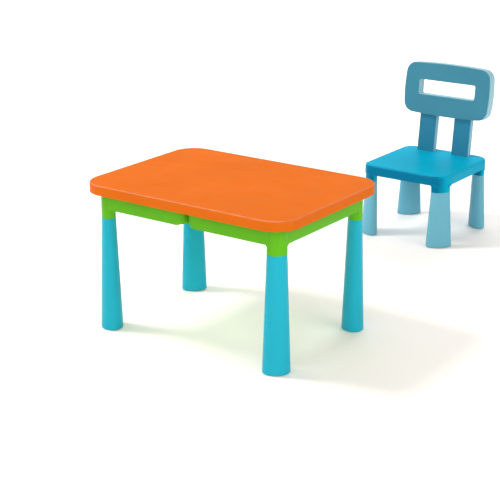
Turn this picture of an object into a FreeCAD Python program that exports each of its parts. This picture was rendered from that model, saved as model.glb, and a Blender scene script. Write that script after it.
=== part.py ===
import FreeCAD, Part
import math
import os
import Sketcher

# A child's plastic table and chair.
# The table's front long side faces -Y, the chair stands behind the table and faces it.
# The origin is on the floor, in the middle of the set's outline, +Z is up, sizes are in mm.

os.makedirs("parts", exist_ok=True)
doc = FreeCAD.newDocument("kids_table_and_chair")
V = FreeCAD.Vector

# ---------------------------------------------------------------- driving dimensions
DIMENSIONS = [
    # table
    ("table_length", 770.0),
    ("table_width", 563.0),
    ("table_height", 490.0),
    ("rim_height", 33.0),
    ("top_corner_radius", 80.0),
    ("top_edge_radius", 6.0),
    ("top_wall", 3.5),
    ("top_rib_depth", 9.0),
    ("top_rib_spacing_x", 192.0),
    ("top_rib_spacing_y", 180.0),
    ("locating_rib_depth", 10.5),
    ("rib_wall", 2.5),
    ("frame_inset", 38.0),
    ("frame_corner_radius", 44.0),
    ("frame_wall", 3.5),
    ("apron_height", 55.0),
    ("tray_floor", 3.0),
    ("recess_width", 10.0),
    ("recess_depth", 33.0),
    ("recess_shoulder", 28.0),
    ("recess_corner", 4.0),
    ("knee_size", 4.0),
    ("table_socket_drop", 30.0),
    ("table_leg_inset", 63.6),
    ("table_leg_top_wide", 30.7),
    ("table_leg_top_deep", 22.4),
    ("table_leg_foot_wide", 42.9),
    ("table_leg_foot_deep", 35.1),
    ("table_leg_splay", 0.0),
    ("table_spigot", 55.0),
    # chair
    ("seat_width", 364.0),
    ("seat_depth", 378.0),
    ("seat_height", 280.0),
    ("seat_apron", 39.0),
    ("seat_corner_radius", 52.0),
    ("seat_edge_radius", 12.0),
    ("seat_wall", 3.5),
    ("seat_rib_depth", 14.0),
    ("seat_rib_spacing_x", 124.0),
    ("seat_rib_spacing_y", 98.0),
    ("chair_socket_drop", 26.0),
    ("chair_leg_inset", 32.0),
    ("chair_leg_top_wide", 36.6),
    ("chair_leg_top_deep", 21.2),
    ("chair_leg_foot_wide", 49.2),
    ("chair_leg_foot_deep", 28.8),
    ("chair_leg_splay", 3.0),
    ("chair_spigot", 50.0),
    ("back_lean", 6.3),
    ("back_position", 132.0),
    ("upright_width", 73.7),
    ("upright_thickness", 26.0),
    ("upright_spacing", 150.4),
    ("upright_tenon", 25.0),
    ("upright_overlap", 40.0),
    ("upright_edge_radius", 4.0),
    ("backrest_bottom", 145.0),
    ("backrest_height", 207.0),
    ("backrest_width", 371.0),
    ("backrest_thickness", 44.0),
    ("backrest_side_bulge", 9.0),
    ("backrest_top_bulge", 7.0),
    ("backrest_corner_radius", 42.0),
    ("backrest_edge_radius", 5.0),
    ("backrest_wall", 3.5),
    ("upright_wall", 3.5),
    ("slot_width", 240.0),
    ("slot_height", 56.0),
    ("slot_corner_radius", 7.0),
    ("slot_rise", 5.0),
    # shared
    ("leg_wall", 3.0),
    ("foot_wall", 7.0),
    ("socket_wall", 3.2),
    ("play", 0.3),
    ("foot_round", 5.0),
    ("foot_drop", 1.0),
    ("plug_height", 12.0),
    ("chair_distance", 1280.0),
]

sheet = doc.addObject("Spreadsheet::Sheet", "dims")
sheet.Label = "dims"
for row, (alias, number) in enumerate(DIMENSIONS, start=1):
    sheet.set("A%d" % row, alias)
    sheet.set("B%d" % row, str(number))
    sheet.setAlias("B%d" % row, alias)
doc.recompute()


def dim(alias):
    """The present value of a driving dimension."""
    return float(sheet.get(alias))


def value(expression):
    """The present value of an expression on the sheet."""
    return float(sheet.evalExpression(expression))


# Derived positions, as expressions on the sheet.
LEAN = "dims.back_lean * 1 deg"
# the backrest's rear face, out from the uprights' front
BACK_REAR = "(dims.upright_thickness + dims.backrest_wall + dims.play)"
CHAIR_REAR = (
    "(dims.back_position + " + BACK_REAR + " * cos(" + LEAN + ")"
    " + (dims.backrest_bottom + dims.backrest_height) * sin(" + LEAN + ")"
    " - dims.backrest_edge_radius * (cos(" + LEAN + ") + sin(" + LEAN + ") - 1))"
)
TABLE_Y = "(dims.table_width / 2 - dims.chair_distance - " + CHAIR_REAR + ") / 2"
CHAIR_Y = "(" + TABLE_Y + " + dims.chair_distance)"
CHAIR_X = "0"
RIM_BOTTOM = "(dims.table_height - dims.rim_height)"
APRON_BOTTOM = "(" + RIM_BOTTOM + " - dims.apron_height)"
SEAT_BOTTOM = "(dims.seat_height - dims.seat_apron)"
SEAMS = {
    "table": "(" + APRON_BOTTOM + " - dims.table_socket_drop)",
    "chair": "(" + SEAT_BOTTOM + " - dims.chair_socket_drop)",
}
# how far a corner socket reaches from its middle, along X and along Y
REACHES = {
    name: "sqrt((dims.%s_leg_top_wide ^ 2 + dims.%s_leg_top_deep ^ 2) / 2)" % (name, name)
    for name in ("table", "chair")
}
CORNERS = {
    "front_left": (-1, -1),
    "front_right": (1, -1),
    "back_left": (-1, 1),
    "back_right": (1, 1),
}
PIECES = []


# ---------------------------------------------------------------- helpers
def new_body(label, x="0", y="0", z="0"):
    """One physical piece, placed by expressions."""
    body = doc.addObject("PartDesign::Body", label)
    body.Label = label
    body.setExpression("Placement.Base.x", x)
    body.setExpression("Placement.Base.y", y)
    body.setExpression("Placement.Base.z", z)
    PIECES.append(body)
    return body


def plane(body, role):
    """One of the body's own base planes."""
    return [item for item in body.Origin.OriginFeatures if role in item.Name][0]


def new_sketch(body, role, x="0", y="0", z="0", tilt=None):
    """A sketch on a base plane, moved by expressions in the plane's own frame."""
    sketch = body.newObject("Sketcher::SketchObject", body.Label + "_sketch")
    sketch.AttachmentSupport = [(plane(body, role), "")]
    sketch.MapMode = "FlatFace"
    if tilt is not None:
        sketch.AttachmentOffset = FreeCAD.Placement(V(0, 0, 0), FreeCAD.Rotation(V(1, 0, 0), -1))
        sketch.setExpression("AttachmentOffset.Rotation.Angle", tilt)
    sketch.setExpression("AttachmentOffset.Base.x", x)
    sketch.setExpression("AttachmentOffset.Base.y", y)
    sketch.setExpression("AttachmentOffset.Base.z", z)
    return sketch


def bind(sketch, index, name, expression):
    """Name a constraint and drive it from the sheet."""
    sketch.renameConstraint(index, name)
    sketch.setExpression("Constraints." + name, expression)


def add_rectangle(sketch, width, height, start=(20.0, 10.0)):
    """A rectangle centred on the sketch's origin."""
    first = sketch.GeometryCount
    a, b = start
    points = [V(-a, -b, 0), V(a, -b, 0), V(a, b, 0), V(-a, b, 0)]
    for i in range(4):
        sketch.addGeometry(Part.LineSegment(points[i], points[(i + 1) % 4]), False)
    for i in range(4):
        sketch.addConstraint(
            Sketcher.Constraint("Coincident", first + i, 2, first + (i + 1) % 4, 1)
        )
    for i in (0, 2):
        sketch.addConstraint(Sketcher.Constraint("Horizontal", first + i))
    for i in (1, 3):
        sketch.addConstraint(Sketcher.Constraint("Vertical", first + i))
    sketch.addConstraint(Sketcher.Constraint("Symmetric", first, 1, first + 1, 2, -1, 1))
    index = sketch.addConstraint(Sketcher.Constraint("DistanceX", first, 1, first, 2, 2 * a))
    bind(sketch, index, "width%d" % first, width)
    index = sketch.addConstraint(Sketcher.Constraint("DistanceY", first + 1, 1, first + 1, 2, 2 * b))
    bind(sketch, index, "height%d" % first, height)


def add_rounded(sketch, width, height, radius, numbers):
    """A rectangle with round corners, centred on the sketch's origin."""
    a, b, r = numbers[0] / 2, numbers[1] / 2, numbers[2]
    first = sketch.GeometryCount
    lines = [
        (V(-a + r, -b, 0), V(a - r, -b, 0)),
        (V(a, -b + r, 0), V(a, b - r, 0)),
        (V(a - r, b, 0), V(-a + r, b, 0)),
        (V(-a, b - r, 0), V(-a, -b + r, 0)),
    ]
    centres = [V(a - r, -b + r, 0), V(a - r, b - r, 0), V(-a + r, b - r, 0), V(-a + r, -b + r, 0)]
    for i in range(4):
        sketch.addGeometry(Part.LineSegment(*lines[i]), False)
        circle = Part.Circle(centres[i], V(0, 0, 1), r)
        begin = math.radians(-90 + 90 * i)
        sketch.addGeometry(Part.ArcOfCircle(circle, begin, begin + math.pi / 2), False)
    for i in range(4):
        line, arc = first + 2 * i, first + 2 * i + 1
        following = first + (2 * i + 2) % 8
        sketch.addConstraint(Sketcher.Constraint("Tangent", line, 2, arc, 1))
        sketch.addConstraint(Sketcher.Constraint("Tangent", arc, 2, following, 1))
    sketch.addConstraint(Sketcher.Constraint("Horizontal", first))
    sketch.addConstraint(Sketcher.Constraint("Vertical", first + 2))
    sketch.addConstraint(Sketcher.Constraint("Horizontal", first + 4))
    sketch.addConstraint(Sketcher.Constraint("Vertical", first + 6))
    for i in (3, 5, 7):
        sketch.addConstraint(Sketcher.Constraint("Equal", first + 1, first + i))
    sketch.addConstraint(Sketcher.Constraint("Symmetric", first + 1, 3, first + 5, 3, -1, 1))
    rule = Sketcher.Constraint("DistanceX", first + 6, 1, first + 2, 1, 2 * a)
    bind(sketch, sketch.addConstraint(rule), "width%d" % first, width)
    rule = Sketcher.Constraint("DistanceY", first, 1, first + 4, 1, 2 * b)
    bind(sketch, sketch.addConstraint(rule), "height%d" % first, height)
    rule = Sketcher.Constraint("Radius", first + 1, r)
    bind(sketch, sketch.addConstraint(rule), "radius%d" % first, radius)


def add_ellipse(sketch, wide, deep, shift="0", start=(40.0, 25.0)):
    """An ellipse on the sketch's Y axis, with half axes wide (X) and deep (Y)."""
    first = sketch.GeometryCount
    a, b = start
    sketch.addGeometry(Part.Ellipse(V(a, 0, 0), V(0, b, 0), V(0, 0, 0)), False)
    sketch.exposeInternalGeometry(first)
    sketch.addConstraint(Sketcher.Constraint("Horizontal", first + 1))
    sketch.addConstraint(Sketcher.Constraint("PointOnObject", first, 3, -2))
    index = sketch.addConstraint(Sketcher.Constraint("Distance", first + 1, 2 * a))
    bind(sketch, index, "wide", "2 * (" + wide + ")")
    index = sketch.addConstraint(Sketcher.Constraint("Distance", first + 2, 2 * b))
    bind(sketch, index, "deep", "2 * (" + deep + ")")
    if shift == "0":
        sketch.addConstraint(Sketcher.Constraint("PointOnObject", first, 3, -1))
    else:
        index = sketch.addConstraint(Sketcher.Constraint("DistanceY", -1, 1, first, 3, 1.0))
        bind(sketch, index, "shift", shift)


def pad(body, sketch, length, down=False):
    """Add material along the sketch's normal."""
    feature = body.newObject("PartDesign::Pad", body.Label + "_pad")
    feature.Profile = sketch
    feature.Reversed = down
    feature.setExpression("Length", length)
    sketch.Visibility = False
    return feature


def pocket(body, sketch, length, up=False):
    """Remove material against the sketch's normal, or along it."""
    feature = body.newObject("PartDesign::Pocket", body.Label + "_pocket")
    feature.Profile = sketch
    feature.Reversed = up
    feature.setExpression("Length", length)
    sketch.Visibility = False
    return feature


def fillet(body, feature, test, radius):
    """Round the edges of the last feature that pass a test."""
    doc.recompute()
    names = []
    for number, edge in enumerate(feature.Shape.Edges, start=1):
        if test(edge):
            names.append("Edge%d" % number)
    rounding = body.newObject("PartDesign::Fillet", body.Label + "_fillet")
    rounding.Base = (feature, names)
    rounding.setExpression("Radius", radius)
    return rounding


def along(axis, spots, reach=1.0):
    """Test for straight edges along an axis that pass near one of the spots."""
    pair = {"x": (1, 2), "y": (0, 2), "z": (0, 1)}[axis]
    main = {"x": 0, "y": 1, "z": 2}[axis]

    def test(edge):
        if len(edge.Vertexes) != 2:
            return False
        first = edge.Vertexes[0].Point
        second = edge.Vertexes[1].Point
        step = second - first
        if abs(step[main]) < 0.99 * edge.Length or edge.Length < 1.0:
            return False
        for spot in spots:
            if abs(first[pair[0]] - spot[0]) < reach and abs(first[pair[1]] - spot[1]) < reach:
                return True
        return False

    return test


def both_ways(x, y):
    """The four mirror images of a spot."""
    return [(x, y), (-x, y), (x, -y), (-x, -y)]


def flat_loop(height, reach=0.05, margin=None):
    """Test for edges that lie wholly at one height, optionally outside a box."""

    def test(edge):
        box = edge.BoundBox
        if abs(box.ZMin - height) > reach or abs(box.ZMax - height) > reach:
            return False
        if margin is None:
            return True
        middle = box.Center
        return abs(middle.x) > margin[0] or abs(middle.y) > margin[1]

    return test


def knees(body, axis_x, axis_y, face_x, face_y, reach, wall, level):
    """Small gussets where the apron's lower edge meets the corner sockets."""
    for sign_x, sign_y in CORNERS.values():
        for side in ("long", "short"):
            if side == "long":
                sketch = new_sketch(body, "XZ_Plane", z="%d * (%s)" % (-sign_y, face_y))
                sign, axis = sign_x, axis_x
                inward = sign_y < 0
            else:
                sketch = new_sketch(body, "YZ_Plane", z="%d * (%s)" % (sign_x, face_x))
                sign, axis = sign_y, axis_y
                inward = sign_x > 0
            # distance from the socket's middle towards the apron's middle, and height
            corners = [
                ("near", "(%s) * 0.2" % reach, "%s + 1" % level),
                ("far", "(%s) + dims.knee_size" % reach, "%s + 1" % level),
                ("foot", "(%s) + dims.knee_size" % reach, level),
                ("low", "(%s) * 0.8" % reach, "%s - dims.knee_size" % level),
                ("end", "(%s) * 0.2" % reach, "%s - dims.knee_size" % level),
            ]
            spots = [(value("%s - %s" % (axis, run)), value(up)) for _, run, up in corners]
            last = len(corners)
            for i in range(last):
                start = V(sign * spots[i][0], spots[i][1], 0)
                end = V(sign * spots[(i + 1) % last][0], spots[(i + 1) % last][1], 0)
                sketch.addGeometry(Part.LineSegment(start, end), False)
            for i in range(last):
                sketch.addConstraint(Sketcher.Constraint("Coincident", i, 2, (i + 1) % last, 1))
            for i, (name, run, up) in enumerate(corners):
                if sign > 0:
                    rule = Sketcher.Constraint("DistanceX", -1, 1, i, 1, spots[i][0])
                else:
                    rule = Sketcher.Constraint("DistanceX", i, 1, -1, 1, spots[i][0])
                bind(sketch, sketch.addConstraint(rule), name + "_across", "%s - %s" % (axis, run))
                rule = Sketcher.Constraint("DistanceY", -1, 1, i, 1, spots[i][1])
                bind(sketch, sketch.addConstraint(rule), name + "_up", up)
            pad(body, sketch, wall, down=inward)


def corner_ellipses(body, axis_x, axis_y, wide, deep, start, action, length):
    """The same oval at the four corners, its long axis across the corner's diagonal."""
    for sign_x, sign_y in CORNERS.values():
        turn = math.degrees(math.atan2(sign_y, sign_x)) - 90.0
        sketch = body.newObject("Sketcher::SketchObject", body.Label + "_oval")
        sketch.AttachmentSupport = [(plane(body, "XY_Plane"), "")]
        sketch.MapMode = "FlatFace"
        sketch.AttachmentOffset = FreeCAD.Placement(V(0, 0, 0), FreeCAD.Rotation(V(0, 0, 1), turn))
        sketch.setExpression("AttachmentOffset.Base.x", "%d * (%s)" % (sign_x, axis_x))
        sketch.setExpression("AttachmentOffset.Base.y", "%d * (%s)" % (sign_y, axis_y))
        sketch.setExpression("AttachmentOffset.Base.z", start)
        add_ellipse(sketch, wide, deep)
        if action == "pad":
            pad(body, sketch, length)
        elif action == "pocket_up":
            pocket(body, sketch, length, up=True)
        else:
            pocket(body, sketch, length)


# ---------------------------------------------------------------- table top
def make_table_top():
    body = new_body("table_top", "0", TABLE_Y, RIM_BOTTOM)
    outline = new_sketch(body, "XY_Plane")
    numbers = (dim("table_length"), dim("table_width"), dim("top_corner_radius"))
    add_rounded(
        outline, "dims.table_length", "dims.table_width", "dims.top_corner_radius", numbers
    )
    slab = pad(body, outline, "dims.rim_height")
    slab = fillet(body, slab, flat_loop(dim("rim_height")), "dims.top_edge_radius")
    slab = fillet(body, slab, flat_loop(0.0), "1.2")
    hollow = new_sketch(body, "XY_Plane")
    wall = dim("top_wall")
    add_rounded(
        hollow,
        "dims.table_length - 2 * dims.top_wall",
        "dims.table_width - 2 * dims.top_wall",
        "dims.top_corner_radius - dims.top_wall",
        (numbers[0] - 2 * wall, numbers[1] - 2 * wall, numbers[2] - wall),
    )
    pocket(body, hollow, "dims.rim_height - dims.top_wall", up=True)
    ceiling = "dims.rim_height - dims.top_wall + 0.5"
    # locating ribs, just outside the frame's walls, clear of the finger recesses and sockets
    beside = "(dims.recess_width / 2 + dims.recess_shoulder + 8)"
    leg_edge = " - dims.table_leg_inset - " + REACHES["table"] + " - 8)"
    beyond_x = "(dims.table_length / 2" + leg_edge
    beyond_y = "(dims.table_width / 2" + leg_edge
    depth = "dims.locating_rib_depth + 0.5"
    for sign_x, sign_y in CORNERS.values():
        rib = new_sketch(
            body,
            "XY_Plane",
            x="%d * (%s + %s) / 2" % (sign_x, beside, beyond_x),
            y="%d * (dims.table_width / 2 - dims.frame_inset + dims.rib_wall / 2 + 1.5)" % sign_y,
            z=ceiling,
        )
        add_rectangle(rib, beyond_x + " - " + beside, "dims.rib_wall", start=(80.0, 2.0))
        pad(body, rib, depth, down=True)
    for sign in (-1, 1):
        rib = new_sketch(
            body,
            "XY_Plane",
            x="%d * (dims.table_length / 2 - dims.frame_inset + dims.rib_wall / 2 + 1.5)" % sign,
            z=ceiling,
        )
        add_rectangle(rib, "dims.rib_wall", "2 * " + beyond_y, start=(2.0, 80.0))
        pad(body, rib, depth, down=True)
    # stiffening ribs under the plate, inside the tray
    inside_x = "dims.table_length - 2 * dims.frame_inset - 2 * dims.frame_wall - 30"
    inside_y = (
        "dims.table_width - 2 * dims.frame_inset - 2 * dims.recess_depth"
        " - 2 * dims.frame_wall - 20"
    )
    depth = "dims.top_rib_depth + 0.5"
    for place in (-0.5, 0.5):
        rib = new_sketch(body, "XY_Plane", y="%s * dims.top_rib_spacing_y" % place, z=ceiling)
        add_rectangle(rib, inside_x, "dims.rib_wall", start=(200.0, 2.0))
        pad(body, rib, depth, down=True)
    for place in (-1, 0, 1):
        rib = new_sketch(body, "XY_Plane", x="%d * dims.top_rib_spacing_x" % place, z=ceiling)
        add_rectangle(rib, "dims.rib_wall", inside_y, start=(2.0, 150.0))
        pad(body, rib, depth, down=True)


# ---------------------------------------------------------------- table frame
def make_table_frame():
    body = new_body("table_frame", "0", TABLE_Y, "0")
    top_level = "(dims.table_height - dims.top_wall - dims.play)"
    length = "(dims.table_length - 2 * dims.frame_inset)"
    width = "(dims.table_width - 2 * dims.frame_inset)"
    half_x = dim("table_length") / 2 - dim("frame_inset")
    half_y = dim("table_width") / 2 - dim("frame_inset")
    outline = new_sketch(body, "XY_Plane", z=APRON_BOTTOM)
    radius = dim("frame_corner_radius")
    add_rounded(
        outline, length, width, "dims.frame_corner_radius", (2 * half_x, 2 * half_y, radius)
    )
    box = pad(body, outline, top_level + " - " + APRON_BOTTOM)
    box = fillet(body, box, flat_loop(value(APRON_BOTTOM)), "1.5")
    # storage tray
    hollow = new_sketch(body, "XY_Plane", z=top_level)
    wall = dim("frame_wall")
    add_rounded(
        hollow,
        length + " - 2 * dims.frame_wall",
        width + " - 2 * dims.frame_wall",
        "dims.frame_corner_radius - dims.frame_wall",
        (2 * (half_x - wall), 2 * (half_y - wall), radius - wall),
    )
    pocket(body, hollow, top_level + " - " + APRON_BOTTOM + " - dims.tray_floor")
    # finger recesses in the long sides
    for sign in (-1, 1):
        boss = new_sketch(
            body,
            "XY_Plane",
            y="%d * (%s / 2 - dims.recess_depth / 2 - dims.frame_wall + 1)" % (sign, width),
            z=APRON_BOTTOM + " + 1",
        )
        add_rectangle(
            boss, "dims.recess_width + 2 * dims.frame_wall", "dims.recess_depth + 2"
        )
        pad(body, boss, top_level + " - " + APRON_BOTTOM + " - 1")
    for sign in (-1, 1):
        notch = new_sketch(body, "XY_Plane", y="%d * %s / 2" % (sign, width), z=top_level)
        add_rectangle(notch, "dims.recess_width", "2 * dims.recess_depth")
        tray = pocket(body, notch, top_level + " - " + APRON_BOTTOM + " + 5")
    slot_x = dim("recess_width") / 2
    deep_y = half_y - dim("recess_depth")
    # the inside corners come first, so that the wall is never cut through
    tray = fillet(body, tray, along("z", both_ways(slot_x, deep_y)), "dims.recess_corner")
    tray = fillet(
        body,
        tray,
        along("z", both_ways(slot_x + wall, half_y - wall)),
        "dims.recess_shoulder - dims.frame_wall",
    )
    tray = fillet(body, tray, along("z", both_ways(slot_x, half_y)), "dims.recess_shoulder")
    fillet(
        body,
        tray,
        along("z", both_ways(slot_x + wall, deep_y - wall)),
        "dims.recess_corner + dims.frame_wall",
    )
    axis_x = "dims.table_length / 2 - dims.table_leg_inset"
    axis_y = "dims.table_width / 2 - dims.table_leg_inset"
    knees(
        body,
        axis_x,
        axis_y,
        "dims.table_length / 2 - dims.frame_inset",
        "dims.table_width / 2 - dims.frame_inset",
        REACHES["table"],
        "dims.frame_wall",
        APRON_BOTTOM,
    )
    # corner columns with the leg sockets
    seam = SEAMS["table"]
    wide = "dims.table_leg_top_wide"
    deep = "dims.table_leg_top_deep"
    corner_ellipses(
        body, axis_x, axis_y, wide, deep, seam, "pad", top_level + " - " + seam
    )
    bore_wide = wide + " - dims.socket_wall"
    bore_deep = deep + " - dims.socket_wall"
    corner_ellipses(
        body,
        axis_x,
        axis_y,
        bore_wide,
        bore_deep,
        seam,
        "pocket_up",
        "dims.table_spigot + 1",
    )
    corner_ellipses(
        body,
        axis_x,
        axis_y,
        bore_wide,
        bore_deep,
        top_level,
        "pocket",
        top_level + " - " + seam + " - dims.table_spigot - 5",
    )


# ---------------------------------------------------------------- legs and foot plugs
def make_leg(label, name, axis_x, axis_y, base_x, base_y, signs):
    """A hollow oval leg with a spigot on top. Its own Y axis points out of the corner."""
    sign_x, sign_y = signs
    body = new_body(
        label,
        "%s + %d * (%s)" % (base_x, sign_x, axis_x),
        "%s + %d * (%s)" % (base_y, sign_y, axis_y),
        "0",
    )
    turn = math.degrees(math.atan2(sign_y, sign_x)) - 90.0
    body.Placement.Rotation = FreeCAD.Rotation(V(0, 0, 1), turn)
    foot_wide = "dims.%s_leg_foot_wide" % name
    foot_deep = "dims.%s_leg_foot_deep" % name
    top_wide = "dims.%s_leg_top_wide" % name
    top_deep = "dims.%s_leg_top_deep" % name
    splay = "dims.%s_leg_splay + 0.001" % name
    seam = SEAMS[name] + " - dims.play"

    # the lowest sections step in, which rounds the foot's edge
    sections = []
    for rise, step in ((0.0, 0.6), (0.12, 0.3), (0.4, 0.08), (1.0, 0.0)):
        inset = " - %s * dims.foot_round" % step
        section = new_sketch(body, "XY_Plane", z="dims.foot_drop + %s * dims.foot_round" % rise)
        add_ellipse(section, foot_wide + inset, foot_deep + inset, splay)
        sections.append(section)
    top = new_sketch(body, "XY_Plane", z=seam)
    add_ellipse(top, top_wide, top_deep)
    sections.append(top)
    loft = body.newObject("PartDesign::AdditiveLoft", label + "_loft")
    loft.Profile = sections[0]
    loft.Sections = sections[1:]
    loft.Ruled = True
    spigot = new_sketch(body, "XY_Plane", z=seam)
    inset = " - dims.socket_wall - dims.play"
    add_ellipse(spigot, top_wide + inset, top_deep + inset)
    pad(body, spigot, "dims.%s_spigot" % name)
    inner_foot = new_sketch(body, "XY_Plane", z="dims.foot_drop")
    add_ellipse(inner_foot, foot_wide + " - dims.foot_wall", foot_deep + " - dims.foot_wall", splay)
    inner_top = new_sketch(body, "XY_Plane", z=seam + " - 2 * dims.leg_wall")
    add_ellipse(inner_top, top_wide + " - dims.leg_wall", top_deep + " - dims.leg_wall")
    core = body.newObject("PartDesign::SubtractiveLoft", label + "_core")
    core.Profile = inner_foot
    core.Sections = [inner_top]
    core.Ruled = True
    # the spigot is hollow too
    bore = new_sketch(body, "XY_Plane", z=seam + " - 2 * dims.leg_wall - 1")
    add_ellipse(
        bore,
        top_wide + inset + " - dims.leg_wall",
        top_deep + inset + " - dims.leg_wall",
    )
    pocket(body, bore, "dims.%s_spigot + dims.leg_wall + 1" % name, up=True)


def make_foot(label, name, axis_x, axis_y, base_x, base_y, signs):
    """The plug that closes a leg's lower end and stands on the floor."""
    sign_x, sign_y = signs
    body = new_body(
        label,
        "%s + %d * (%s)" % (base_x, sign_x, axis_x),
        "%s + %d * (%s)" % (base_y, sign_y, axis_y),
        "0",
    )
    turn = math.degrees(math.atan2(sign_y, sign_x)) - 90.0
    body.Placement.Rotation = FreeCAD.Rotation(V(0, 0, 1), turn)
    splay = "dims.%s_leg_splay + 0.001" % name
    inset = " - dims.foot_wall - 2.5 * dims.play"
    foot_wide = "dims.%s_leg_foot_wide" % name + inset
    foot_deep = "dims.%s_leg_foot_deep" % name + inset
    outline = new_sketch(body, "XY_Plane")
    add_ellipse(outline, foot_wide, foot_deep, splay)
    pad(body, outline, "dims.plug_height")
    hollow = new_sketch(body, "XY_Plane", z="dims.plug_height")
    add_ellipse(hollow, foot_wide + " - 2.5", foot_deep + " - 2.5", splay)
    pocket(body, hollow, "dims.plug_height - 3")


# ---------------------------------------------------------------- chair seat
def make_seat():
    body = new_body("chair_seat", CHAIR_X, CHAIR_Y, "0")
    low = SEAT_BOTTOM
    half_x = dim("seat_width") / 2
    half_y = dim("seat_depth") / 2
    outline = new_sketch(body, "XY_Plane", z=low)
    radius = dim("seat_corner_radius")
    add_rounded(
        outline,
        "dims.seat_width",
        "dims.seat_depth",
        "dims.seat_corner_radius",
        (2 * half_x, 2 * half_y, radius),
    )
    slab = pad(body, outline, "dims.seat_apron")
    slab = fillet(body, slab, flat_loop(dim("seat_height")), "dims.seat_edge_radius")
    slab = fillet(body, slab, flat_loop(dim("seat_height") - dim("seat_apron")), "1.5")
    hollow = new_sketch(body, "XY_Plane", z=low)
    wall = dim("seat_wall")
    add_rounded(
        hollow,
        "dims.seat_width - 2 * dims.seat_wall",
        "dims.seat_depth - 2 * dims.seat_wall",
        "dims.seat_corner_radius - dims.seat_wall",
        (2 * (half_x - wall), 2 * (half_y - wall), radius - wall),
    )
    pocket(body, hollow, "dims.seat_apron - dims.seat_edge_radius", up=True)
    # the upper part of the hollow is narrower, inside the rounded edge
    edge = dim("seat_edge_radius")
    upper = new_sketch(body, "XY_Plane", z=low)
    add_rounded(
        upper,
        "dims.seat_width - 2 * dims.seat_edge_radius",
        "dims.seat_depth - 2 * dims.seat_edge_radius",
        "dims.seat_corner_radius - dims.seat_edge_radius",
        (2 * (half_x - edge), 2 * (half_y - edge), radius - edge),
    )
    pocket(body, upper, "dims.seat_apron - dims.seat_wall", up=True)
    ceiling = "dims.seat_height - dims.seat_wall + 0.5"
    axis_x = "dims.seat_width / 2 - dims.chair_leg_inset"
    axis_y = "dims.seat_depth / 2 - dims.chair_leg_inset"
    # stiffening ribs
    for place in (-0.5, 0.5):
        rib = new_sketch(body, "XY_Plane", y="%s * dims.seat_rib_spacing_y" % place, z=ceiling)
        add_rectangle(
            rib, "dims.seat_width - 2 * dims.seat_wall + 1", "dims.rib_wall", start=(100.0, 2.0)
        )
        pad(body, rib, "dims.seat_rib_depth + 0.5", down=True)
        rib = new_sketch(body, "XY_Plane", x="%s * dims.seat_rib_spacing_x" % place, z=ceiling)
        add_rectangle(
            rib, "dims.rib_wall", "dims.seat_depth - 2 * dims.seat_wall + 1", start=(2.0, 100.0)
        )
        pad(body, rib, "dims.seat_rib_depth + 0.5", down=True)
    knees(
        body,
        axis_x,
        axis_y,
        "dims.seat_width / 2",
        "dims.seat_depth / 2",
        REACHES["chair"],
        "dims.seat_wall",
        low,
    )
    seam = SEAMS["chair"]
    wide = "dims.chair_leg_top_wide"
    deep = "dims.chair_leg_top_deep"
    corner_ellipses(
        body, axis_x, axis_y, wide, deep, seam, "pad", ceiling + " - " + seam
    )
    corner_ellipses(
        body,
        axis_x,
        axis_y,
        wide + " - dims.socket_wall",
        deep + " - dims.socket_wall",
        seam,
        "pocket_up",
        "dims.chair_spigot + 1",
    )
    # leaning sockets for the two uprights
    tilt = "-" + LEAN
    middle = "dims.back_position + dims.upright_thickness / 2 * cos(" + LEAN + ")"
    for sign in (-1, 1):
        place = "%d * dims.upright_spacing / 2" % sign
        box = new_sketch(
            body,
            "XY_Plane",
            x=place,
            y=middle + " - (dims.upright_tenon + 3) * sin(" + LEAN + ")",
            z="dims.seat_height - dims.upright_thickness / 2 * sin(" + LEAN + ")"
            " - (dims.upright_tenon + 3) * cos(" + LEAN + ")",
            tilt=tilt,
        )
        add_rectangle(box, "dims.upright_width + 7", "dims.upright_thickness + 7")
        pad(body, box, "dims.upright_tenon + 1")
    for sign in (-1, 1):
        place = "%d * dims.upright_spacing / 2" % sign
        slot = new_sketch(
            body,
            "XY_Plane",
            x=place,
            y=middle + " - dims.upright_tenon * sin(" + LEAN + ")",
            z="dims.seat_height - dims.upright_thickness / 2 * sin(" + LEAN + ")"
            " - dims.upright_tenon * cos(" + LEAN + ")",
            tilt=tilt,
        )
        add_rectangle(
            slot, "dims.upright_width + 2 * dims.play", "dims.upright_thickness + 2 * dims.play"
        )
        pocket(body, slot, "dims.upright_tenon + 20", up=True)


# ---------------------------------------------------------------- chair back
def leaned_body(label, x):
    """A body in the back's own frame: Z along the lean, Y out of the back."""
    body = new_body(label, x, CHAIR_Y + " + dims.back_position", "dims.seat_height")
    body.Placement.Rotation = FreeCAD.Rotation(V(1, 0, 0), -dim("back_lean"))
    body.setExpression("Placement.Rotation.Angle", LEAN)
    body.Placement.Rotation = FreeCAD.Rotation(V(-1, 0, 0), dim("back_lean"))
    return body


def make_upright(label, sign):
    """A flat tube between seat and backrest, open at its lower end."""
    body = leaned_body(label, CHAIR_X + " + %d * dims.upright_spacing / 2" % sign)
    bottom = "-dims.upright_tenon + dims.play"
    height = "dims.backrest_bottom + dims.upright_overlap + dims.upright_tenon - dims.play"
    outline = new_sketch(body, "XY_Plane", y="dims.upright_thickness / 2", z=bottom)
    add_rectangle(outline, "dims.upright_width", "dims.upright_thickness")
    bar = pad(body, outline, height)
    half = dim("upright_width") / 2
    thick = dim("upright_thickness")
    bar = fillet(
        body,
        bar,
        along("z", [(-half, 0.0), (half, 0.0), (-half, thick), (half, thick)]),
        "dims.upright_edge_radius",
    )
    hollow = new_sketch(body, "XY_Plane", y="dims.upright_thickness / 2", z=bottom)
    add_rectangle(
        hollow,
        "dims.upright_width - 2 * dims.upright_wall",
        "dims.upright_thickness - 2 * dims.upright_wall",
    )
    pocket(body, hollow, height + " - dims.upright_wall", up=True)


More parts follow.
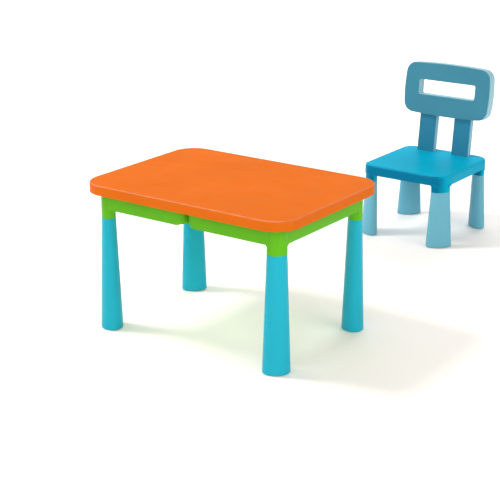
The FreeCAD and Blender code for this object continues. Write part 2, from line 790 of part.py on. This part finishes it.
def add_barrel(sketch, wide, tall, side_bulge, top_bulge, corner, numbers):
    """A rounded rectangle with swollen sides, centred on the sketch's origin."""
    w, h, s, t, r = numbers
    flat = ((w / 2) ** 2 + t * t) / (2 * t)
    steep = ((h / 2) ** 2 + s * s) / (2 * s)
    # the corner circle touches both large arcs from the inside
    upper = V(0, h / 2 - flat, 0)
    aside = V(w / 2 - steep, 0, 0)
    gap = aside - upper
    reach = gap.Length
    run = ((flat - r) ** 2 - (steep - r) ** 2 + reach**2) / (2 * reach)
    lift = math.sqrt((flat - r) ** 2 - run**2)
    unit = gap * (1 / reach)
    normal = V(-unit.y, unit.x, 0)
    options = [upper + unit * run + normal * lift, upper + unit * run - normal * lift]
    spot = [item for item in options if item.x > 0 and item.y > 0][0]
    top_angle = math.atan2(spot.y - upper.y, spot.x - upper.x)
    side_angle = math.atan2(spot.y - aside.y, spot.x - aside.x)
    arcs = [
        (aside, steep, -side_angle, side_angle),
        (spot, r, side_angle, top_angle),
        (upper, flat, top_angle, math.pi - top_angle),
        (V(-spot.x, spot.y, 0), r, math.pi - top_angle, math.pi - side_angle),
        (aside * -1, steep, math.pi - side_angle, math.pi + side_angle),
        (spot * -1, r, math.pi + side_angle, math.pi + top_angle),
        (upper * -1, flat, math.pi + top_angle, 2 * math.pi - top_angle),
        (V(spot.x, -spot.y, 0), r, 2 * math.pi - top_angle, 2 * math.pi - side_angle),
    ]
    first = sketch.GeometryCount
    for centre, radius, begin, end in arcs:
        circle = Part.Circle(centre, V(0, 0, 1), radius)
        sketch.addGeometry(Part.ArcOfCircle(circle, begin, end), False)
    for i in range(8):
        rule = Sketcher.Constraint("Tangent", first + i, 2, first + (i + 1) % 8, 1)
        sketch.addConstraint(rule)
    flat_rule = "((%s) * (%s) / 4 + %s * %s) / (2 * %s)" % (
        wide, wide, top_bulge, top_bulge, top_bulge,
    )
    steep_rule = "((%s) * (%s) / 4 + %s * %s) / (2 * %s)" % (
        tall, tall, side_bulge, side_bulge, side_bulge,
    )
    for i in (0, 4):
        sketch.addConstraint(Sketcher.Constraint("PointOnObject", first + i, 3, -1))
        index = sketch.addConstraint(Sketcher.Constraint("Radius", first + i, steep))
        bind(sketch, index, "side%d" % i, steep_rule)
    for i in (2, 6):
        sketch.addConstraint(Sketcher.Constraint("PointOnObject", first + i, 3, -2))
        index = sketch.addConstraint(Sketcher.Constraint("Radius", first + i, flat))
        bind(sketch, index, "crown%d" % i, flat_rule)
    index = sketch.addConstraint(Sketcher.Constraint("Radius", first + 1, r))
    bind(sketch, index, "corner", corner)
    for i in (3, 5, 7):
        sketch.addConstraint(Sketcher.Constraint("Equal", first + 1, first + i))
    offset_x = "(%s) - (%s) / 2" % (steep_rule, wide)
    offset_y = "(%s) - (%s) / 2" % (flat_rule, tall)
    rule = Sketcher.Constraint("DistanceX", first, 3, -1, 1, -aside.x)
    bind(sketch, sketch.addConstraint(rule), "right", offset_x)
    rule = Sketcher.Constraint("DistanceX", -1, 1, first + 4, 3, -aside.x)
    bind(sketch, sketch.addConstraint(rule), "left", offset_x)
    rule = Sketcher.Constraint("DistanceY", first + 2, 3, -1, 1, -upper.y)
    bind(sketch, sketch.addConstraint(rule), "upper", offset_y)
    rule = Sketcher.Constraint("DistanceY", -1, 1, first + 6, 3, -upper.y)
    bind(sketch, sketch.addConstraint(rule), "lower", offset_y)


def make_backrest():
    """A hollow panel with swollen sides and a long grip slot."""
    body = leaned_body("chair_backrest", CHAIR_X)
    rear = "-" + BACK_REAR
    centre = "dims.backrest_bottom + dims.backrest_height / 2"
    wide = dim("backrest_width")
    tall = dim("backrest_height")
    side = dim("backrest_side_bulge")
    crown = dim("backrest_top_bulge")
    wall = dim("backrest_wall")
    round_corner = dim("backrest_corner_radius")
    outline = new_sketch(body, "XZ_Plane", y=centre, z=rear)
    add_barrel(
        outline,
        "dims.backrest_width",
        "dims.backrest_height",
        "dims.backrest_side_bulge",
        "dims.backrest_top_bulge",
        "dims.backrest_corner_radius",
        (wide, tall, side, crown, round_corner),
    )
    panel = pad(body, outline, "dims.backrest_thickness")
    back = value(BACK_REAR)
    front = back - dim("backrest_thickness")

    def on_face(edge):
        box = edge.BoundBox
        for level in (front, back):
            if abs(box.YMin - level) < 0.05 and abs(box.YMax - level) < 0.05:
                return True
        return False

    fillet(body, panel, on_face, "dims.backrest_edge_radius")
    # the cavity, which leaves a wall all round
    hollow = new_sketch(body, "XZ_Plane", y=centre, z=rear + " + dims.backrest_wall")
    add_barrel(
        hollow,
        "dims.backrest_width - 2 * dims.backrest_wall",
        "dims.backrest_height - 2 * dims.backrest_wall",
        "dims.backrest_side_bulge",
        "dims.backrest_top_bulge",
        "dims.backrest_corner_radius - dims.backrest_wall",
        (wide - 2 * wall, tall - 2 * wall, side, crown, round_corner - wall),
    )
    pocket(body, hollow, "dims.backrest_thickness - 2 * dims.backrest_wall", up=True)
    # the wall around the slot, from the rear skin to the front skin
    ring = new_sketch(
        body,
        "XZ_Plane",
        y=centre + " + dims.slot_rise",
        z=rear + " + dims.backrest_wall - 0.5",
    )
    slot_numbers = (dim("slot_width"), dim("slot_height"), dim("slot_corner_radius"))
    grown = " + 2 * dims.backrest_wall"
    add_rounded(
        ring,
        "dims.slot_width" + grown,
        "dims.slot_height" + grown,
        "dims.slot_corner_radius + dims.backrest_wall",
        (slot_numbers[0] + 2 * wall, slot_numbers[1] + 2 * wall, slot_numbers[2] + wall),
    )
    pad(body, ring, "dims.backrest_thickness - 2 * dims.backrest_wall + 1")
    slot = new_sketch(body, "XZ_Plane", y=centre + " + dims.slot_rise", z=rear)
    add_rounded(slot, "dims.slot_width", "dims.slot_height", "dims.slot_corner_radius", slot_numbers)
    panel = pocket(body, slot, "dims.backrest_thickness + 1", up=True)
    reach = dim("slot_width") / 2 + 0.1

    def on_slot(edge):
        return on_face(edge) and max(-edge.BoundBox.XMin, edge.BoundBox.XMax) < reach

    fillet(body, panel, on_slot, "dims.backrest_edge_radius")
    # stiffening ribs beside the uprights, from the lower wall to the slot's wall
    for sign in (-1, 1):
        for edge_sign in (-1, 1):
            rib = new_sketch(
                body,
                "XY_Plane",
                x="%d * dims.upright_spacing / 2 + %d * (dims.upright_width / 2 + dims.play"
                " + dims.rib_wall / 2 + 0.1)" % (sign, edge_sign),
                y=BACK_REAR + " - dims.backrest_thickness / 2",
                z="dims.backrest_bottom + dims.backrest_wall",
            )
            add_rectangle(
                rib,
                "dims.rib_wall",
                "dims.backrest_thickness - 2 * dims.backrest_wall + 1",
                start=(3.0, 15.0),
            )
            pad(
                body,
                rib,
                "dims.backrest_height / 2 + dims.slot_rise - dims.slot_height / 2"
                " - 1.5 * dims.backrest_wall",
            )
    # windows in the lower wall for the uprights
    for sign in (-1, 1):
        window = new_sketch(
            body,
            "XY_Plane",
            x="%d * dims.upright_spacing / 2" % sign,
            y="dims.upright_thickness / 2",
            z="dims.backrest_bottom - 5",
        )
        add_rectangle(
            window,
            "dims.upright_width + 2 * dims.play",
            "dims.upright_thickness + 2 * dims.play",
        )
        pocket(body, window, "dims.upright_overlap + 5 + dims.play", up=True)


make_table_top()
make_table_frame()
for corner, signs in CORNERS.items():
    make_leg(
        "table_leg_" + corner,
        "table",
        "dims.table_length / 2 - dims.table_leg_inset",
        "dims.table_width / 2 - dims.table_leg_inset",
        "0",
        TABLE_Y,
        signs,
    )
    make_foot(
        "table_foot_" + corner,
        "table",
        "dims.table_length / 2 - dims.table_leg_inset",
        "dims.table_width / 2 - dims.table_leg_inset",
        "0",
        TABLE_Y,
        signs,
    )
make_seat()
for corner, signs in CORNERS.items():
    make_leg(
        "chair_leg_" + corner,
        "chair",
        "dims.seat_width / 2 - dims.chair_leg_inset",
        "dims.seat_depth / 2 - dims.chair_leg_inset",
        CHAIR_X,
        CHAIR_Y,
        signs,
    )
    make_foot(
        "chair_foot_" + corner,
        "chair",
        "dims.seat_width / 2 - dims.chair_leg_inset",
        "dims.seat_depth / 2 - dims.chair_leg_inset",
        CHAIR_X,
        CHAIR_Y,
        signs,
    )
make_upright("chair_upright_left", -1)
make_upright("chair_upright_right", 1)
make_backrest()

# ---------------------------------------------------------------- check and export
doc.recompute()
for item in doc.Objects:
    if "Invalid" in item.State or "Error" in item.State:
        raise RuntimeError("feature failed: " + item.Name)
for piece in PIECES:
    if piece.Shape.isNull() or not piece.Shape.isValid():
        raise RuntimeError("bad solid: " + piece.Label)
    if len(piece.Shape.Solids) != 1:
        raise RuntimeError("not one solid: " + piece.Label)
    piece.Shape.exportStep("parts/" + piece.Label + ".step")
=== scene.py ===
import math

import bpy
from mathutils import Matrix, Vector


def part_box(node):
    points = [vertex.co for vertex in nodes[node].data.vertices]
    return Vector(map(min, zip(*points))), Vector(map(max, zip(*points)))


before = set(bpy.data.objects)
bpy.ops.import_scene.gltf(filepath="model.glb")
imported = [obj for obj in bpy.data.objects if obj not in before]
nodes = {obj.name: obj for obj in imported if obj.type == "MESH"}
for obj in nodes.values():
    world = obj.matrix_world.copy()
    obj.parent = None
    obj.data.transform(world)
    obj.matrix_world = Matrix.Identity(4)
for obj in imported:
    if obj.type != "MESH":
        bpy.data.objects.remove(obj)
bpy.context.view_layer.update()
scene = bpy.context.scene

WHITE = (1.0, 1.0, 1.0)

# ---------------------------------------------------------------- where the table is
top_low, top_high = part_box("table_top")
table_x = (top_low[0] + top_high[0]) / 2
table_y = (top_low[1] + top_high[1]) / 2

# ---------------------------------------------------------------- camera
CAMERA_AZIMUTH = math.radians(35.37)
CAMERA_ELEVATION = math.radians(18.58)
CAMERA_DISTANCE = 4.364
CAMERA_LENS = 99.70
SENSOR_WIDTH = 36.0
CLIP_END = 60.0

back = Vector(
    (
        math.sin(CAMERA_AZIMUTH) * math.cos(CAMERA_ELEVATION),
        -math.cos(CAMERA_AZIMUTH) * math.cos(CAMERA_ELEVATION),
        math.sin(CAMERA_ELEVATION),
    )
)
target = Vector((table_x + 0.0655, table_y + 0.0070, 0.2734))
camera = bpy.data.objects.new("camera", bpy.data.cameras.new("camera"))
scene.collection.objects.link(camera)
camera.data.sensor_width = SENSOR_WIDTH
camera.data.lens = CAMERA_LENS
camera.data.clip_end = CLIP_END
camera.data.dof.use_dof = False
camera.location = target + back * CAMERA_DISTANCE
camera.rotation_mode = "QUATERNION"
camera.rotation_quaternion = (-back).to_track_quat("-Z", "Y")
scene.camera = camera


# ---------------------------------------------------------------- node helpers
def noise(tree, place, scale, detail=2.0, roughness=0.5):
    """The value of a noise texture in object coordinates."""
    node = tree.nodes.new("ShaderNodeTexNoise")
    node.inputs["Scale"].default_value = scale
    node.inputs["Detail"].default_value = detail
    node.inputs["Roughness"].default_value = roughness
    tree.links.new(place.outputs["Object"], node.inputs["Vector"])
    return node.outputs["Fac"]


def spread(tree, value, from_low, from_high, to_low=0.0, to_high=1.0):
    """A value stretched from one range to another."""
    node = tree.nodes.new("ShaderNodeMapRange")
    node.inputs["From Min"].default_value = from_low
    node.inputs["From Max"].default_value = from_high
    node.inputs["To Min"].default_value = to_low
    node.inputs["To Max"].default_value = to_high
    tree.links.new(value, node.inputs["Value"])
    return node.outputs["Result"]


def ramp(tree, value, stops):
    """A value turned into a colour; stops are pairs of place and colour."""
    node = tree.nodes.new("ShaderNodeValToRGB")
    elements = node.color_ramp.elements
    elements[0].position = stops[0][0]
    elements[1].position = stops[-1][0]
    for position, _ in stops[1:-1]:
        elements.new(position)
    for element, (_, colour) in zip(elements, stops):
        element.color = (*colour, 1.0)
    tree.links.new(value, node.inputs["Fac"])
    return node.outputs["Color"]


def blend(tree, factor, first, second):
    """A colour socket that goes over to a second, plain colour."""
    node = tree.nodes.new("ShaderNodeMix")
    node.data_type = "RGBA"
    node.inputs["B"].default_value = (*second, 1.0)
    tree.links.new(factor, node.inputs["Factor"])
    tree.links.new(first, node.inputs["A"])
    return node.outputs["Result"]


def math_node(tree, operation, *values):
    """The result of a sum on one or two sockets."""
    node = tree.nodes.new("ShaderNodeMath")
    node.operation = operation
    for socket, value in zip(node.inputs, values):
        tree.links.new(value, socket)
    return node.outputs["Value"]


# ---------------------------------------------------------------- materials
PLASTIC_IOR = 1.49
GRAIN_DEPTH = 0.0004


def plastic(
    name, colour, rough=0.38, grain=700.0, bump=0.025, edge_highlight=0.10, shine=0.14, painted_lit_sides=None
):
    """Moulded plastic: fine grain, cloudy tint, painted highlights on rounded edges, faint
    smudges.

    The colour given for sides is painted light on the faces that don't look forwards or
    backwards; the faces that look forwards or backwards keep the darker colour, which is
    painted shade.
    """
    material = bpy.data.materials.new(name)
    material.use_nodes = True
    tree = material.node_tree
    tree.nodes.clear()
    link = tree.links.new
    output = tree.nodes.new("ShaderNodeOutputMaterial")
    shader = tree.nodes.new("ShaderNodeBsdfPrincipled")
    link(shader.outputs[0], output.inputs[0])
    place = tree.nodes.new("ShaderNodeTexCoord")

    # cloudy tint
    darker = tuple(c * 0.955 for c in colour)
    lighter = tuple(min(1.0, c * 1.035) for c in colour)
    tint = ramp(tree, noise(tree, place, 5.0, detail=4.0), ((0.3, darker), (0.7, lighter)))

    # fine speckle of the resin
    speck = spread(tree, noise(tree, place, 420.0), 0.35, 0.65, 0.99, 1.01)
    speckled = tree.nodes.new("ShaderNodeVectorMath")
    speckled.operation = "SCALE"
    link(tint, speckled.inputs[0])
    link(speck, speckled.inputs["Scale"])
    base = speckled.outputs["Vector"]

    shape = tree.nodes.new("ShaderNodeNewGeometry")
    facing = tree.nodes.new("ShaderNodeSeparateXYZ")
    link(shape.outputs["Normal"], facing.inputs["Vector"])
    # painted shade and light: faces looking forwards or backwards keep the darker colour, the
    # others go over to the lighter colour as if lit from the side
    if painted_lit_sides:
        forwards = math_node(tree, "ABSOLUTE", facing.outputs["Y"])
        base = blend(tree, spread(tree, forwards, 0.93, 0.45), base, painted_lit_sides)

    # rounded edges between top and side get a painted highlight, lighter in patches
    none, full = (0.0, 0.0, 0.0), (edge_highlight, edge_highlight, edge_highlight)
    edge_stops = ((0.20, none), (0.5, full), (0.85, full), (0.97, none))
    edge = ramp(tree, facing.outputs["Z"], edge_stops)
    patches = spread(tree, noise(tree, place, 25.0), 0.3, 0.6, to_low=0.6)
    edge_highlight_mask = math_node(tree, "MULTIPLY", edge, patches)
    highlight_colour = tuple(0.3 + 0.7 * c for c in colour)
    link(blend(tree, edge_highlight_mask, base, highlight_colour), shader.inputs["Base Color"])

    # smudges change the gloss
    smudge = noise(tree, place, 14.0, detail=6.0, roughness=0.6)
    gloss = spread(tree, smudge, 0.3, 0.7, rough - 0.05, rough + 0.07)
    link(gloss, shader.inputs["Roughness"])

    # spark-eroded mould texture
    raised = tree.nodes.new("ShaderNodeBump")
    raised.inputs["Strength"].default_value = bump
    raised.inputs["Distance"].default_value = GRAIN_DEPTH
    link(noise(tree, place, grain, detail=3.0), raised.inputs["Height"])
    link(raised.outputs["Normal"], shader.inputs["Normal"])

    shader.inputs["IOR"].default_value = PLASTIC_IOR
    shader.inputs["Specular IOR Level"].default_value = shine
    return material


# In the seat, upright and backrest materials the second colour is painted light on faces that
# don't look forwards or backwards, and the first colour is the front faces in painted shade
# The edge setting of each material is the strength of a painted highlight along its rounded
# edges
MATERIALS = {
    "top": plastic(
        "orange_plastic",
        (0.640, 0.132, 0.008),
        rough=0.45,
        grain=260.0,
        bump=0.015,
        edge_highlight=0.30,
        shine=0.03,
    ),
    "frame": plastic("green_plastic", (0.105, 0.430, 0.008), rough=0.42, edge_highlight=0.12),
    "leg": plastic("turquoise_plastic", (0.012, 0.390, 0.520), rough=0.40, edge_highlight=0.12),
    "seat": plastic(
        "sky_blue_plastic",
        (0.001, 0.155, 0.285),
        rough=0.36,
        edge_highlight=0.03,
        shine=0.03,
        painted_lit_sides=(0.001, 0.345, 0.520),
    ),
    "chair_leg": plastic("pale_blue_plastic", (0.135, 0.400, 0.515), rough=0.42),
    "upright": plastic(
        "upright_blue_plastic_painted_light",
        (0.022, 0.190, 0.300),
        rough=0.42,
        painted_lit_sides=(0.22, 0.46, 0.56),
    ),
    "back": plastic(
        "backrest_blue_plastic_painted_light",
        (0.046, 0.212, 0.298),
        rough=0.42,
        edge_highlight=0.12,
        painted_lit_sides=(0.30, 0.52, 0.60),
    ),
    "foot": plastic("grey_rubber", (0.110, 0.130, 0.140), rough=0.7, edge_highlight=0.05, bump=0.2),
}


def paint(name, key):
    """Give a CAD node its material."""
    piece = nodes[name]
    if not piece.material_slots:
        piece.data.materials.append(MATERIALS[key])
    for item in piece.material_slots:
        item.material = MATERIALS[key]


paint("table_top", "top")
paint("table_frame", "frame")
paint("chair_seat", "seat")
paint("chair_backrest", "back")
for side in ("left", "right"):
    paint("chair_upright_" + side, "upright")
for corner in ("front_left", "front_right", "back_left", "back_right"):
    paint("table_leg_" + corner, "leg")
    paint("chair_leg_" + corner, "chair_leg")
    paint("table_foot_" + corner, "foot")
    paint("chair_foot_" + corner, "foot")


# ---------------------------------------------------------------- floor
def floor_material():
    """Pale matt floor with a very faint mottle."""
    material = bpy.data.materials.new("pale_floor")
    material.use_nodes = True
    tree = material.node_tree
    shader = tree.nodes["Principled BSDF"]
    place = tree.nodes.new("ShaderNodeTexCoord")
    shades = ((0.0, (0.955, 0.905, 0.87)), (1.0, (0.965, 0.915, 0.88)))
    mottle = ramp(tree, noise(tree, place, 3.0), shades)
    tree.links.new(mottle, shader.inputs["Base Color"])
    shader.inputs["Roughness"].default_value = 0.85
    shader.inputs["Specular IOR Level"].default_value = 0.1
    return material


FLOOR_HALF = 30.0
corners = [(x * FLOOR_HALF, y * FLOOR_HALF, 0) for x, y in ((-1, -1), (1, -1), (1, 1), (-1, 1))]
mesh = bpy.data.meshes.new("floor")
mesh.from_pydata(corners, [], [(0, 1, 2, 3)])
floor = bpy.data.objects.new("floor", mesh)
scene.collection.objects.link(floor)
mesh.materials.append(floor_material())


# ---------------------------------------------------------------- light
def area_light(name, place, aim, width, power, colour=WHITE):
    """A soft square light."""
    lamp = bpy.data.objects.new(name, bpy.data.lights.new(name, "AREA"))
    scene.collection.objects.link(lamp)
    lamp.data.shape = "SQUARE"
    lamp.data.size = width
    lamp.data.energy = power
    lamp.data.color = colour
    lamp.location = place
    lamp.rotation_mode = "QUATERNION"
    lamp.rotation_quaternion = (Vector(aim) - Vector(place)).to_track_quat("-Z", "Y")
    return lamp


# name, place from the middle of the table, width, power, colour
LAMPS = (
    ("key", (-3.4, -1.3, 5.4), 1.3, 250.0, (1.0, 0.99, 0.97)),
    ("right", (4.2, -0.4, 2.2), 3.0, 40.0, (1.0, 0.92, 0.78)),
    ("fill", (3.4, -5.0, 2.4), 3.0, 105.0, WHITE),
)
middle = (table_x, table_y + 0.3, 0.3)
for name, (x, y, z), width, power, colour in LAMPS:
    area_light(name, (table_x + x, table_y + y, z), middle, width, power, colour)

# washes that light the far floor, and show in no gloss; place on the floor and power
WASHES = ((-3, 8, 820.0), (8, 1, 260.0), (-8, 1, 260.0), (0, -8, 260.0))
WASH_HEIGHT = 5.0
WASH_WIDTH = 7.0
for x, y, power in WASHES:
    spot = (table_x + x, table_y + y, 0.0)
    wash = area_light("wash", (spot[0], spot[1], WASH_HEIGHT), spot, WASH_WIDTH, power)
    wash.visible_glossy = False

# a plain white surround, a little brighter at the horizon than overhead
HORIZON_STRENGTH = 0.55
OVERHEAD_STRENGTH = 0.42
world = bpy.data.worlds.new("world")
scene.world = world
world.use_nodes = True
sky = world.node_tree
backdrop = sky.nodes["Background"]
backdrop.inputs["Color"].default_value = (*WHITE, 1.0)
sky_place = sky.nodes.new("ShaderNodeTexCoord")
parts = sky.nodes.new("ShaderNodeSeparateXYZ")
sky.links.new(sky_place.outputs["Generated"], parts.inputs["Vector"])
fade = spread(sky, parts.outputs["Z"], 0.0, 0.8, HORIZON_STRENGTH, OVERHEAD_STRENGTH)
sky.links.new(fade, backdrop.inputs["Strength"])
scene.view_settings.view_transform = "Standard"
scene.view_settings.look = "None"
scene.view_settings.exposure = -0.16
scene.view_settings.gamma = 1.0
